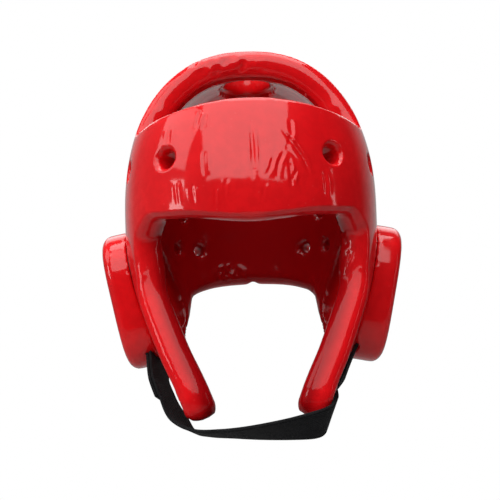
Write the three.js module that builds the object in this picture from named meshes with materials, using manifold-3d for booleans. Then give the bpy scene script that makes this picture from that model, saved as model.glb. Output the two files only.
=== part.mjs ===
// Taekwondo headgear, in millimetres. The origin is the head seat: the inside of the crown at its middle.
// +Z is up and the face looks along -Y. Every foam piece is a panel laid on one smooth head form.
import * as THREE from "three";
import { mergeVertices } from "three/addons/utils/BufferGeometryUtils.js";
import Module from "manifold-3d";

const wasm = await Module();
wasm.setup();

// Driving sizes.
const FOAM = 20; // thickness of the padded wall
const EDGE_ROUND = 5; // how far a rounded foam edge swells past its panel
const HALF_WIDTH = 92; // of the wall's outer face at the widest level
const HALF_LENGTH = 111.5; // of the same face, front to middle and middle to back
const HEIGHT = 249; // of the form, from the crown's outer top to the ends of the cheek guards
const DOME_SHARE = 0.492; // of the height, above the widest level
const CLEARANCE = 0.3; // between pieces that touch

const DOME = DOME_SHARE * HEIGHT;
const JAW_DROP = HEIGHT - DOME;
const WIDEST_Z = FOAM - DOME;
const SIDE_POWER = 2.3; // squareness of the form across
const LENGTH_POWER = 2.8; // squareness along the length, at the widest level and above
const DOME_POWER = 2.3; // squareness of the crown in height

// The form below its widest level, as shares of JAW_DROP, HALF_WIDTH and HALF_LENGTH, with the squareness
// of its front half, which flattens into the cheek guards' straight sides.
const JAW_FORM = [
  { drop: 0, side: 1, front: 1, power: LENGTH_POWER, back: 1 },
  { drop: 0.15, side: 1, front: 1.03, power: 2.6, back: 0.996 },
  { drop: 0.3, side: 0.975, front: 1.15, power: 2.2, back: 0.975 },
  { drop: 0.45, side: 0.922, front: 1.46, power: 1.83, back: 0.94 },
  { drop: 0.6, side: 0.851, front: 1.64, power: 1.58, back: 0.9 },
  { drop: 0.75, side: 0.77, front: 1.66, power: 1.5, back: 0.86 },
  { drop: 0.88, side: 0.675, front: 1.66, power: 1.5, back: 0.83 },
  { drop: 1, side: 0.595, front: 1.66, power: 1.5, back: 0.82 },
  { drop: 1.2, side: 0.5, front: 1.66, power: 1.5, back: 0.81 },
];

// The shell's visible edges. Fall is a share of HEIGHT down from the head seat, and reach one of HALF_LENGTH
// from the middle towards the back.
const BROW_FALL = 0.43; // lower edge of the forehead band
const BROW_BEND = 13; // degrees round the form over which it turns
const BROW_RISE = { height: 3.5, turn: 24 }; // how much higher the edge is on either side of its middle
const BAND_TOP_FALL = 0.0985; // top of the forehead band at its middle
const SLOT_END_FALL = 0.1685; // where the slots' ends meet the crown
const BACK_TOP_FALL = 0.1245; // top of the back wall at its middle
const CROWN_FRONT_REACH = -0.399;
const CROWN_BACK_REACH = 0.444;
const CROWN_FILLET = 15; // how far the crown's feet spread past its waist, fore and aft
const CROWN_SPREAD = 0.6; // share of the way up over which they do
const BAND_CREST = 1.1; // how pointed the band's top edge is at its middle
const BACK_CREST = 0.7; // the same for the back wall

// The cheek guard's free front edge seen from the side, from where the brow turns down into it to the tip.
// Length is a share of HALF_LENGTH, and drop is one of JAW_DROP below the widest level.
const GUARD_FRONT = [
  { length: -0.664, drop: 0.067 },
  { length: -0.655, drop: 0.154 },
  { length: -0.659, drop: 0.265 },
  { length: -0.682, drop: 0.395 },
  { length: -0.735, drop: 0.53 },
  { length: -0.794, drop: 0.664 },
  { length: -0.848, drop: 0.794 },
  { length: -0.892, drop: 0.921 },
  { length: -0.888, drop: 0.992 },
];
// Its visible lower edge, from the tip back to the wall behind the ear, and on to the nape.
const GUARD_LOWER = [
  { length: -0.857, drop: 1.044 },
  { length: -0.789, drop: 1.008 },
  { length: -0.673, drop: 0.917 },
  { length: -0.52, drop: 0.846 },
  { length: -0.296, drop: 0.81 },
  { length: -0.045, drop: 0.802 },
  { length: 0.215, drop: 0.763 },
  { length: 0.444, drop: 0.68 },
];
const NAPE_LOWER = [
  { turn: 138, drop: 0.534 },
  { turn: 158, drop: 0.459 },
  { turn: 180, drop: 0.439 },
];
const NAPE_NOTCH = { height: 5, halfWidth: 8 }; // the small upturned V at the middle of the nape

// Ear cups: thick rounded-square pads over larger holes in the wall.
const CUP = {
  halfLength: 49.5,
  halfHeight: 51.5,
  power: 3.8, // squareness of its outline
  thickness: 27,
  round: 6, // radius of its edges
  standOff: 9.2, // of its face's middle beyond the wall at its widest
  y: 6,
  fall: 0.6526, // of its face's middle
  lean: 11.5, // degrees, its lower edge inwards
};
const CUP_DISH = { radius: 32.5, floor: 26, depth: 5 }; // the shallow dish in the cup's face
const CUP_HOLE = { radius: 7, smallRadius: 3.5, smallCount: 6, smallCircle: 19 };
const EAR_HOLE = { radius: 36, y: 9.5, fall: 0.6305 };

// Vents: where each pierces the outer face, in degrees round from the middle of the face, and its fall.
const VENTS = [
  { turn: 29.3, fall: 0.261, radius: 6.2 },
  { turn: 56, fall: 0.273, radius: 6.2 },
  { turn: 149, fall: 0.506, radius: 4.6 },
  { turn: 131, fall: 0.498, radius: 4.6 },
  { turn: 137, fall: 0.3755, radius: 4.6 },
];
const VENT_FLARE = 3.2; // how much wider a vent is at the wall's faces
const VENT_LIP = 0.5; // depth of the straight rim outside the flare
const CROWN_VENT = { halfLength: 24.5, halfWidth: 17, y: 2 };

// The strap: flat webbing.
const STRAP = { width: 25, thickness: 2 };
// Its line from under one ear cup to under the other: length is a share of HALF_LENGTH and drop one of
// JAW_DROP. A row on the wall says which side it is on and its gap off the wall, and a free row its place
// across as a share of HALF_WIDTH. Lean turns its face down from upright, or from the wall, in degrees.
const STRAP_PATH = [
  { side: -1, length: 0.022, drop: 0.736, gap: 2.8, lean: 0 },
  { side: -1, length: -0.159, drop: 0.77, gap: 2.8, lean: 8 },
  { across: -0.748, length: -0.354, drop: 0.826, lean: 30 },
  { across: -0.69, length: -0.535, drop: 0.905, lean: 42 },
  { across: -0.605, length: -0.674, drop: 0.99, lean: 52 },
  { across: -0.515, length: -0.785, drop: 1.065, lean: 60 },
  { across: -0.38, length: -0.86, drop: 1.086, lean: 68 },
  { across: -0.202, length: -0.92, drop: 1.08, lean: 66 },
  { across: 0, length: -0.955, drop: 1.07, lean: 58 },
  { across: 0.228, length: -0.965, drop: 1.055, lean: 46 },
  { across: 0.425, length: -0.93, drop: 1.04, lean: 32 },
  { across: 0.512, length: -0.815, drop: 1.026, lean: 21 },
  { across: 0.533, length: -0.655, drop: 0.996, lean: 24 },
  { across: 0.618, length: -0.511, drop: 0.912, lean: 32 },
  { across: 0.733, length: -0.354, drop: 0.826, lean: 25 },
  { side: 1, length: -0.159, drop: 0.77, gap: 2.8, lean: 0 },
  { side: 1, length: 0.022, drop: 0.736, gap: 2.8, lean: 0 },
];
const STRAP_STEPS = 48; // sections the strap is drawn with
// The doubled end, lying over the strap on one side, its last corner standing off. The lifts are the
// distances between the middles of the two layers.
const TAB = { lift: 2.5, endLift: 6.5, settle: 0.35 };
const TAB_SKIP_STEPS = 3; // the strap's steps before it
const TAB_STEPS = 8; // and the ones that it covers

// How finely the shapes are drawn.
const BAND_ROWS = 5;
const GUARD_ROWS = 8;
const BAND_STEPS = 16;
const SIDE_STEPS = 12;
const BACK_STEPS = 16;
const CROWN_STEPS = 18;
const VENT_STEPS = 16;
const EAR_STEPS = 28;
const CUP_STEPS = 32;
const BORE_STEPS = 10;
const FORM_TURNS = 60;
const FORM_LEVELS = 20;
const RIM_STEPS = [0.8, 0, -0.8]; // places across a cut edge, as shares of half the wall
const RIM_POWER = 3; // squareness of its swell
const CORNER_FADE = 26; // the swell dies away over this distance to a slot's corner
const REACH = 12; // how far a cutter stands past the wall
const SAME_POINT = 0.05; // points of a panel nearer than this are one
const PROBE = 0.4; // step for measuring the form's slope
const HALVINGS = 30; // rounds of closing in on the form's face

// Colours, as one material for each finish.
const COLOURS = { foam: 0xc8141c, webbing: 0x141416 };
const finish = (color, roughness) => new THREE.MeshStandardMaterial({ color, roughness, metalness: 0 });
const skin = () => finish(COLOURS.foam, 0.2);
const webbing = () => finish(COLOURS.webbing, 0.85);

const rad = THREE.MathUtils.degToRad;
const lerp = THREE.MathUtils.lerp;
const smooth = THREE.MathUtils.smoothstep;
const V = (x, y, z) => new THREE.Vector3(x, y, z);

// A smooth curve through a named column of a table, read at a share from 0 to 1 of its rows.
function along(rows, column, at) {
  const n = rows.length - 1;
  const i = Math.min(Math.floor(at * n), n - 1);
  const t = at * n - i;
  const value = (k) => rows[Math.max(0, Math.min(n, k))][column];
  const [a, b, c, d] = [value(i - 1), value(i), value(i + 1), value(i + 2)];
  return b + 0.5 * t * (c - a + t * (2 * a - 5 * b + 4 * c - d + t * (3 * (b - c) + d - a)));
}
// The share at which a steadily rising or falling column reaches a value.
function shareOf(rows, column, value) {
  const n = rows.length - 1;
  const rising = rows[n][column] > rows[0][column] ? 1 : -1;
  let i = 0;
  while (i < n - 1 && (value - rows[i + 1][column]) * rising > 0) i += 1;
  const step = (value - rows[i][column]) / (rows[i + 1][column] - rows[i][column]);
  return (i + THREE.MathUtils.clamp(step, 0, 1)) / n;
}

// Half axes of the form at a height.
function formAt(z) {
  const at = shareOf(JAW_FORM, "drop", Math.max(0, (WIDEST_Z - z) / JAW_DROP));
  return {
    side: HALF_WIDTH * along(JAW_FORM, "side", at),
    front: HALF_LENGTH * along(JAW_FORM, "front", at),
    power: along(JAW_FORM, "power", at),
    back: HALF_LENGTH * along(JAW_FORM, "back", at),
    left: 1 - Math.max(0, (z - WIDEST_Z) / DOME) ** DOME_POWER,
  };
}
// What the place along the length takes from a section of the form.
function lengthTerm(f, y) {
  return y < 0 ? Math.abs(y / f.front) ** f.power : Math.abs(y / f.back) ** LENGTH_POWER;
}
// Negative inside the form, positive outside.
function depth(p) {
  const f = formAt(p.z);
  return Math.abs(p.x / f.side) ** SIDE_POWER + lengthTerm(f, p.y) - f.left;
}
function normalAt(p) {
  const moved = (axis, step) => depth(p.clone().addScaledVector(axis, step));
  const slope = (axis) => moved(axis, PROBE) - moved(axis, -PROBE);
  return V(slope(V(1, 0, 0)), slope(V(0, 1, 0)), slope(V(0, 0, 1))).normalize();
}
// The form's outer face at a turn in degrees from the middle of the face, and a height.
function onTurn(turn, z) {
  const dir = V(Math.sin(rad(turn)), -Math.cos(rad(turn)), 0);
  let near = 0;
  let far = 2 * HALF_LENGTH;
  for (let i = 0; i < HALVINGS; i += 1) {
    const mid = (near + far) / 2;
    if (depth(dir.clone().multiplyScalar(mid).setZ(z)) < 0) near = mid;
    else far = mid;
  }
  return dir.multiplyScalar((near + far) / 2).setZ(z);
}
// The turn at which the right side of the form passes through a point seen from the side.
function turnAt(y, z) {
  const f = formAt(z);
  const x = f.side * Math.max(f.left - lengthTerm(f, y), 1e-6) ** (1 / SIDE_POWER);
  return THREE.MathUtils.radToDeg(Math.atan2(x, -y));
}
function onCrown(x, y) {
  const f = formAt(0);
  const room = 1 - Math.abs(x / f.side) ** SIDE_POWER - lengthTerm(f, y);
  return V(x, y, WIDEST_Z + DOME * Math.max(0, room) ** (1 / DOME_POWER));
}

// A panel: points on the form and four-sided faces between them.
class Panel {
  constructor() {
    this.points = [];
    this.faces = [];
  }
  point(p) {
    const known = this.points.findIndex((q) => q.distanceTo(p) < SAME_POINT);
    return known < 0 ? this.points.push(p.clone()) - 1 : known;
  }
  // Rows of points, each row left to right as seen from outside, the rows from top to bottom.
  addGrid(rows) {
    const ids = rows.map((row) => row.map((p) => this.point(p)));
    for (let i = 0; i + 1 < ids.length; i += 1)
      for (let j = 0; j + 1 < ids[i].length; j += 1)
        this.faces.push([ids[i][j], ids[i + 1][j], ids[i + 1][j + 1], ids[i][j + 1]]);
  }
  // The free edges as directed pairs, the panel on their left.
  edges() {
    const used = new Set();
    const pairs = this.faces.flatMap((f) => f.map((a, i) => [a, f[(i + 1) % f.length]]));
    pairs.forEach(([a, b]) => used.add(a + "," + b));
    return pairs.filter(([a, b]) => a !== b && !used.has(b + "," + a));
  }
}

// A closed padded wall of the given thickness under a panel, with its free edges swollen by roundAt(point).
function pad(panel, thickness, roundAt) {
  const outer = panel.points;
  const normals = outer.map(normalAt);
  const position = [];
  const index = [];
  outer.forEach((p) => position.push(...p));
  outer.forEach((p, i) => position.push(...p.clone().addScaledVector(normals[i], -thickness)));
  const n = outer.length;
  const quad = (a, b, c, d) => {
    if (a !== b && b !== c && a !== c) index.push(a, b, c);
    if (a !== c && c !== d && a !== d) index.push(a, c, d);
  };
  panel.faces.forEach(([a, b, c, d]) => {
    quad(a, b, c, d);
    quad(n + d, n + c, n + b, n + a);
  });
  const edges = panel.edges();
  const next = new Map(edges);
  const before = new Map(edges.map(([a, b]) => [b, a]));
  const rim = new Map();
  edges.forEach(([a]) => {
    const tangent = outer[next.get(a)].clone().sub(outer[before.get(a)]).normalize();
    const out = tangent.cross(normals[a]).normalize();
    const middle = outer[a].clone().addScaledVector(normals[a], -thickness / 2);
    const steps = RIM_STEPS.map((s) => {
      const swell = roundAt(outer[a]) * (1 - Math.abs(s) ** RIM_POWER) ** (1 / RIM_POWER);
      const p = middle.clone().addScaledVector(normals[a], (s * thickness) / 2).addScaledVector(out, swell);
      return position.push(...p) / 3 - 1;
    });
    rim.set(a, [a, ...steps, n + a]);
  });
  edges.forEach(([a, b]) => {
    const [ra, rb] = [rim.get(a), rim.get(b)];
    for (let k = 0; k + 1 < ra.length; k += 1) quad(ra[k + 1], rb[k + 1], rb[k], ra[k]);
  });
  const geometry = new THREE.BufferGeometry();
  geometry.setAttribute("position", new THREE.Float32BufferAttribute(position, 3));
  geometry.setIndex(index);
  return geometry;
}

// Solids for cutting and joining.
function solid(geometry) {
  const plain = geometry.index ? geometry.toNonIndexed() : geometry.clone();
  plain.deleteAttribute("normal");
  plain.deleteAttribute("uv");
  const merged = mergeVertices(plain, 1e-4);
  const vertProperties = new Float32Array(merged.attributes.position.array);
  const triVerts = new Uint32Array(merged.index.array);
  return new wasm.Manifold(new wasm.Mesh({ numProp: 3, vertProperties, triVerts }));
}
function piece(name, manifold, material) {
  const mesh = manifold.getMesh();
  const geometry = new THREE.BufferGeometry();
  geometry.setAttribute("position", new THREE.BufferAttribute(new Float32Array(mesh.vertProperties), 3));
  geometry.setIndex(new THREE.BufferAttribute(new Uint32Array(mesh.triVerts), 1));
  geometry.computeVertexNormals();
  const made = new THREE.Mesh(geometry, material);
  made.name = name;
  return made;
}
// A turned solid whose axis is stood along a direction, its zero height at a point.
function turned(profile, steps, at, direction) {
  const geometry = new THREE.LatheGeometry(profile.map(([r, h]) => new THREE.Vector2(r, h)), steps);
  const turn = new THREE.Quaternion().setFromUnitVectors(V(0, 1, 0), direction.clone().normalize());
  return geometry.applyQuaternion(turn).translate(at.x, at.y, at.z);
}
// A through-hole of the wall with both rims flared.
function holeCutter(at, normal, radius, flare, steps) {
  const wide = radius + flare;
  const profile = [
    [0, -FOAM - REACH],
    [wide, -FOAM - REACH],
    [wide, -FOAM + VENT_LIP],
    [radius, -FOAM + flare + VENT_LIP],
    [radius, -flare - VENT_LIP],
    [wide, -VENT_LIP],
    [wide, REACH],
    [0, REACH],
  ];
  return solid(turned(profile, steps, at, normal));
}

// The shell.
const shares = (n) => Array.from({ length: n + 1 }, (_, i) => i / n);
const fallen = (fall) => -fall * HEIGHT;
const reached = (reach) => reach * HALF_LENGTH;
const [BAND_TOP_Z, SLOT_END_Z, BACK_TOP_Z] = [BAND_TOP_FALL, SLOT_END_FALL, BACK_TOP_FALL].map(fallen);
const waist = [reached(CROWN_FRONT_REACH) + EDGE_ROUND, reached(CROWN_BACK_REACH) - EDGE_ROUND];
const slotEndTurn = (y) => turnAt(y, SLOT_END_Z);
const SLOT_TURNS = [slotEndTurn(waist[0] - CROWN_FILLET), slotEndTurn(waist[1] + CROWN_FILLET)];
const levelOf = (row) => WIDEST_Z - row.drop * JAW_DROP;
const sideView = (row, lift) => ({ y: row.length * HALF_LENGTH, z: levelOf(row) + lift });
const frontPath = GUARD_FRONT.map((row) => sideView(row, 0));
const lowerPath = [frontPath.at(-1), ...GUARD_LOWER.map((row) => sideView(row, EDGE_ROUND))];
const browCorner = frontPath[0];
const CORNER_TURN = turnAt(browCorner.y, browCorner.z);
const BACK_TURN = turnAt(lowerPath.at(-1).y, lowerPath.at(-1).z);

// The ring's top edge at a turn: low where the crown joins it, higher at the middle of the face and back.
function topAt(turn) {
  const [frontEnd, backEnd] = SLOT_TURNS;
  const front = smooth(turn, 0, frontEnd) ** BAND_CREST;
  const back = smooth(turn, backEnd, 180) ** BACK_CREST;
  if (turn < frontEnd) return lerp(BAND_TOP_Z - EDGE_ROUND, SLOT_END_Z, front);
  if (turn < backEnd) return SLOT_END_Z;
  return lerp(SLOT_END_Z, BACK_TOP_Z - EDGE_ROUND, back);
}
function browAt(turn) {
  const bend = smooth(turn, CORNER_TURN - BROW_BEND, CORNER_TURN) ** 2;
  const raised = fallen(BROW_FALL) + BROW_RISE.height * smooth(turn, 0, BROW_RISE.turn);
  return lerp(raised + EDGE_ROUND, browCorner.z, bend);
}
const napeLine = [
  { turn: BACK_TURN, z: lowerPath.at(-1).z },
  ...NAPE_LOWER.map((row) => ({ turn: row.turn, z: levelOf(row) + EDGE_ROUND })),
];
function napeAt(turn) {
  return along(napeLine, "z", shareOf(napeLine, "turn", turn));
}

// The four sides of the right wall in turn and height: front line, back line, top and lower edge.
const frontLine = [
  ...shares(BAND_ROWS).map((t) => ({
    turn: CORNER_TURN,
    z: lerp(topAt(CORNER_TURN), browCorner.z, t),
  })),
  ...shares(GUARD_ROWS).slice(1).map((t) => {
    const z = along(frontPath, "z", t);
    return { turn: turnAt(along(frontPath, "y", t), z), z };
  }),
];
const ROWS = BAND_ROWS + GUARD_ROWS;
const lowerTip = frontLine.at(-1);
const backLine = shares(ROWS).map((t) => ({
  turn: BACK_TURN,
  z: lerp(topAt(BACK_TURN), napeAt(BACK_TURN), t),
}));
const topLine = shares(SIDE_STEPS).map((s) => {
  const turn = lerp(CORNER_TURN, BACK_TURN, s);
  return { turn, z: topAt(turn) };
});
const lowerLine = shares(SIDE_STEPS).map((s) => {
  const z = along(lowerPath, "z", s);
  return { turn: turnAt(along(lowerPath, "y", s), z), z };
});
lowerLine[SIDE_STEPS] = backLine[ROWS];
lowerLine[0] = lowerTip;

// A wall point between its four sides.
function between(s, t, i, j) {
  const mix = (key) => {
    const corners = [topLine[0], topLine[SIDE_STEPS], lowerTip, backLine[ROWS]].map((corner) => corner[key]);
    const plain = lerp(lerp(corners[0], corners[1], s), lerp(corners[2], corners[3], s), t);
    return lerp(frontLine[i][key], backLine[i][key], s) + lerp(topLine[j][key], lowerLine[j][key], t) - plain;
  };
  return onTurn(mix("turn"), mix("z"));
}

function shellPanel() {
  const panel = new Panel();
  const mirrored = (rows) => rows.map((row) => row.map((p) => V(-p.x, p.y, p.z)).reverse());
  const band = shares(BAND_ROWS).map((t) =>
    shares(BAND_STEPS).map((s) => {
      const turn = lerp(-CORNER_TURN, CORNER_TURN, s);
      return onTurn(turn, lerp(topAt(Math.abs(turn)), browAt(Math.abs(turn)), t));
    }),
  );
  const rowShare = shares(ROWS);
  const side = rowShare.map((t, i) => shares(SIDE_STEPS).map((s, j) => between(s, t, i, j)));
  const back = rowShare.map((t) =>
    shares(BACK_STEPS).map((s) => {
      const turn = lerp(BACK_TURN, 360 - BACK_TURN, s);
      const folded = turn > 180 ? 360 - turn : turn;
      return onTurn(turn, lerp(topAt(folded), napeAt(folded), t));
    }),
  );
  [band, side, mirrored(side), back].forEach((rows) => panel.addGrid(rows));
  // The crown: strips over the head from each top point between the slots to its mirror point.
  const feet = topLine.filter((p) => p.turn > SLOT_TURNS[0] && p.turn < SLOT_TURNS[1]);
  const footPoints = feet.map((foot) => onTurn(foot.turn, foot.z));
  const strips = shares(CROWN_STEPS).map((s) =>
    footPoints.map((p, j) => {
      const narrowed = lerp(...waist, j / (feet.length - 1));
      const risen = smooth(Math.sin(Math.PI * s), 0, CROWN_SPREAD);
      return onCrown(p.x * Math.cos(Math.PI * s), lerp(p.y, narrowed, risen));
    }),
  );
  strips[0] = footPoints;
  strips[CROWN_STEPS] = footPoints.map((p) => V(-p.x, p.y, p.z));
  panel.addGrid(strips.reverse());
  return panel;
}

const slotCorners = SLOT_TURNS.flatMap((turn) => [onTurn(turn, SLOT_END_Z), onTurn(-turn, SLOT_END_Z)]);
function edgeRound(p) {
  const away = Math.min(...slotCorners.map((c) => c.distanceTo(p)));
  return EDGE_ROUND * Math.min(1, away / CORNER_FADE);
}

let shell = solid(pad(shellPanel(), FOAM, edgeRound));
for (const side of [1, -1]) {
  for (const vent of VENTS) {
    const at = onTurn(side * vent.turn, fallen(vent.fall));
    shell = shell.subtract(holeCutter(at, normalAt(at), vent.radius, VENT_FLARE, VENT_STEPS));
  }
  const earLevel = fallen(EAR_HOLE.fall);
  const ear = onTurn(side * turnAt(EAR_HOLE.y, earLevel), earLevel);
  const earHole = [[0, -3 * FOAM], [EAR_HOLE.radius, -3 * FOAM], [EAR_HOLE.radius, REACH], [0, REACH]];
  shell = shell.subtract(solid(turned(earHole, EAR_STEPS, ear, V(side, 0, 0))));
}

// The crown's vent and the notch at the nape.
const { halfWidth: ventAcross, halfLength: ventAlong } = CROWN_VENT;
const ventShape = new THREE.Shape().absellipse(0, 0, ventAcross, ventAlong, 0, 2 * Math.PI);
const ventDepth = { depth: 2 * FOAM, bevelEnabled: false, curveSegments: BORE_STEPS };
const crownVent = new THREE.ExtrudeGeometry(ventShape, ventDepth);
shell = shell.subtract(solid(crownVent.translate(0, CROWN_VENT.y, -FOAM / 2)));
const notchShape = new THREE.Shape()
  .moveTo(0, NAPE_NOTCH.height)
  .lineTo(-2 * NAPE_NOTCH.halfWidth, -NAPE_NOTCH.height)
  .lineTo(2 * NAPE_NOTCH.halfWidth, -NAPE_NOTCH.height);
const notch = new THREE.ExtrudeGeometry(notchShape, { depth: 2 * HALF_LENGTH, bevelEnabled: false });
notch.rotateX(Math.PI / 2).rotateZ(Math.PI).translate(0, 0, levelOf(NAPE_LOWER.at(-1)));
shell = shell.subtract(solid(notch));

// The form as one solid body, grown a little, for fitting what lies on the wall.
function grownForm(top, bottom, grow) {
  const position = [0, 0, top, 0, 0, bottom];
  const index = [];
  const id = (i, j) => 2 + i * FORM_TURNS + (j % FORM_TURNS);
  for (let i = 0; i <= FORM_LEVELS; i += 1)
    for (let j = 0; j < FORM_TURNS; j += 1) {
      const p = onTurn((360 * j) / FORM_TURNS, lerp(top, bottom, i / FORM_LEVELS));
      position.push(...p.addScaledVector(normalAt(p), grow).setZ(lerp(top, bottom, i / FORM_LEVELS)));
    }
  for (let j = 0; j < FORM_TURNS; j += 1) {
    index.push(0, id(0, j), id(0, j + 1), 1, id(FORM_LEVELS, j + 1), id(FORM_LEVELS, j));
    for (let i = 0; i < FORM_LEVELS; i += 1)
      index.push(id(i, j), id(i + 1, j), id(i + 1, j + 1), id(i, j), id(i + 1, j + 1), id(i, j + 1));
  }
  const geometry = new THREE.BufferGeometry();
  geometry.setAttribute("position", new THREE.Float32BufferAttribute(position, 3));
  return solid(geometry.setIndex(index));
}

// Webbing is a flat section swept along stations, each a point and the lean of its face.
const strapStations = STRAP_PATH.map((row) => {
  const { y, z } = sideView(row, 0);
  if (!row.side) return { x: row.across * HALF_WIDTH, y, z, lean: row.lean };
  const onWall = onTurn(row.side * turnAt(y, z), z);
  const outward = normalAt(onWall);
  const wallLean = THREE.MathUtils.radToDeg(Math.asin(-outward.z));
  const p = onWall.addScaledVector(outward, row.gap);
  return { x: p.x, y: p.y, z: p.z, lean: wallLean + row.lean };
});
const station = (at) => V(...["x", "y", "z"].map((axis) => along(strapStations, axis, at)));
// A stretch of the strap's line, the webbing's middle lifted off it by liftAt(share of the stretch).
function ribbon(from, to, steps, room, liftAt) {
  const position = [];
  const index = [];
  const halfWidth = STRAP.width / 2 + room;
  const halfThickness = STRAP.thickness / 2 + room;
  shares(steps).forEach((share) => {
    const at = lerp(from, to, share);
    const p = station(at);
    const tangent = station(Math.min(1, at + 1e-3)).sub(station(Math.max(0, at - 1e-3))).normalize();
    const face = tangent.clone().cross(V(0, 0, 1)).normalize();
    face.applyAxisAngle(tangent, rad(along(strapStations, "lean", at)));
    const across = tangent.clone().cross(face);
    p.addScaledVector(face, liftAt(share));
    for (const [u, v] of [[-1, -1], [-1, 1], [1, 1], [1, -1]]) {
      const corner = p.clone().addScaledVector(across, u * halfWidth);
      position.push(...corner.addScaledVector(face, v * halfThickness));
    }
  });
  for (let i = 0; i < steps; i += 1)
    for (let k = 0; k < 4; k += 1) {
      const [a, b] = [4 * i + k, 4 * i + ((k + 1) % 4)];
      index.push(a, b, b + 4, a, b + 4, a + 4);
    }
  const last = 4 * steps;
  index.push(0, 2, 1, 0, 3, 2, last, last + 1, last + 2, last, last + 2, last + 3);
  const geometry = new THREE.BufferGeometry();
  geometry.setAttribute("position", new THREE.Float32BufferAttribute(position, 3));
  return solid(geometry.setIndex(index));
}
const strapOf = (room) => ribbon(0, 1, STRAP_STEPS, room, () => 0);
const tabLift = (share) => lerp(TAB.endLift, TAB.lift, smooth(share, 0, TAB.settle));
const tabEnds = [TAB_SKIP_STEPS, TAB_SKIP_STEPS + TAB_STEPS].map((steps) => steps / STRAP_STEPS);
const tabOf = (room) => ribbon(...tabEnds, TAB_STEPS, room, tabLift);
const webbingRoom = [strapOf(CLEARANCE), tabOf(CLEARANCE)];
const FORM_ABOVE = 30; // how far above its widest level the form is needed
const headForm = grownForm(WIDEST_Z + FORM_ABOVE, WIDEST_Z - JAW_FORM.at(-1).drop * JAW_DROP, CLEARANCE);

// An ear cup: a rounded square pad with a dished face and sound holes, fitted to the form and the webbing.
function earCup(side) {
  const outline = shares(CUP_STEPS).slice(1).map((t) => {
    const [c, w] = [Math.cos(2 * Math.PI * t), Math.sin(2 * Math.PI * t)];
    const swollen = (v, half) => Math.sign(v) * (half - CUP.round) * Math.abs(v) ** (2 / CUP.power);
    return new THREE.Vector2(swollen(c, CUP.halfLength), swollen(w, CUP.halfHeight));
  });
  const body = new THREE.ExtrudeGeometry(new THREE.Shape(outline), {
    depth: CUP.thickness - 2 * CUP.round,
    bevelThickness: CUP.round,
    bevelSize: CUP.round,
    bevelSegments: 3,
    curveSegments: 1,
  });
  // The extrusion's +Z becomes the cup's outward axis, its +Y stays up.
  const outward = V(side * Math.cos(rad(CUP.lean)), 0, -Math.sin(rad(CUP.lean)));
  const fore = V(0, side, 0);
  const up = outward.clone().cross(fore);
  const centre = V(side * (HALF_WIDTH + CUP.standOff), CUP.y, fallen(CUP.fall));
  body.translate(0, 0, CUP.round - CUP.thickness);
  body.applyMatrix4(new THREE.Matrix4().makeBasis(fore, up, outward).setPosition(centre));
  let cup = solid(body);
  const bore = (profile, at, steps) => {
    cup = cup.subtract(solid(turned(profile, steps, at, outward)));
  };
  const { radius, floor, depth: sunk } = CUP_DISH;
  bore([[0, -sunk], [floor, -sunk], [radius, 0], [radius, REACH], [0, REACH]], centre, CUP_STEPS);
  const deep = -2 * CUP.thickness;
  const through = (wide) => [[0, deep], [wide, deep], [wide, REACH], [0, REACH]];
  bore(through(CUP_HOLE.radius), centre, BORE_STEPS);
  for (let k = 0; k < CUP_HOLE.smallCount; k += 1) {
    const a = (2 * Math.PI * k) / CUP_HOLE.smallCount;
    const at = centre.clone().addScaledVector(fore, Math.cos(a) * CUP_HOLE.smallCircle);
    at.addScaledVector(up, Math.sin(a) * CUP_HOLE.smallCircle);
    bore(through(CUP_HOLE.smallRadius), at, BORE_STEPS);
  }
  [headForm, ...webbingRoom].forEach((room) => {
    cup = cup.subtract(room);
  });
  // What the webbing's room cuts off behind it is a sliver and isn't kept.
  return cup.decompose().reduce((kept, part) => (part.volume() > kept.volume() ? part : kept));
}

const root = new THREE.Group();
root.name = "taekwondo_headgear";
root.add(
  piece("shell", shell, skin()),
  piece("ear_cup_left", earCup(1), skin()),
  piece("ear_cup_right", earCup(-1), skin()),
  piece("chin_strap", strapOf(0), webbing()),
  piece("strap_tab", tabOf(0), webbing()),
);

export default root;
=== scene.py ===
"""Taekwondo headgear: a glossy dipped-foam shell, two ear cups and a webbing chin strap, held up as worn.

Metres, +Z up, the face looks along -Y. The origin is the inside of the crown at its middle.
"""
import math

import bmesh
import bpy
import numpy as np
from mathutils import Matrix, Vector, noise


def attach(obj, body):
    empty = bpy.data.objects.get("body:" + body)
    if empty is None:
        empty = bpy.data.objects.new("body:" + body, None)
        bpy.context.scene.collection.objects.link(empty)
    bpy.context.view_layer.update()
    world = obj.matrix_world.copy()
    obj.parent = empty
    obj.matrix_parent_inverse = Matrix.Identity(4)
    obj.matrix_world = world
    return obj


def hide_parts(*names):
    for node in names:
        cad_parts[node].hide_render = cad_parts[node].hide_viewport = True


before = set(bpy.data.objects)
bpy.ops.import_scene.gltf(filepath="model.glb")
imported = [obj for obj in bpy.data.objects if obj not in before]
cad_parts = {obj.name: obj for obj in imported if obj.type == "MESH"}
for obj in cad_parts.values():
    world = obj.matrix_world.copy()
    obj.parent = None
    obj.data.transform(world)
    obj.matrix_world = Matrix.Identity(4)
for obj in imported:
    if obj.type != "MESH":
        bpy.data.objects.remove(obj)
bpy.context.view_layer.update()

mm = 0.001

# Sizes of the head form and the foam laid on it, as in the frame.
FOAM = 20 * mm
EDGE_SWELL = 5 * mm
HALF_WIDTH = 92 * mm
HALF_LENGTH = 111.5 * mm
HEIGHT = 249 * mm
DOME = 0.492 * HEIGHT
JAW_DROP = HEIGHT - DOME
WIDEST_Z = FOAM - DOME
SIDE_POWER = 2.3
LENGTH_POWER = 2.8
DOME_POWER = 2.3

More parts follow.
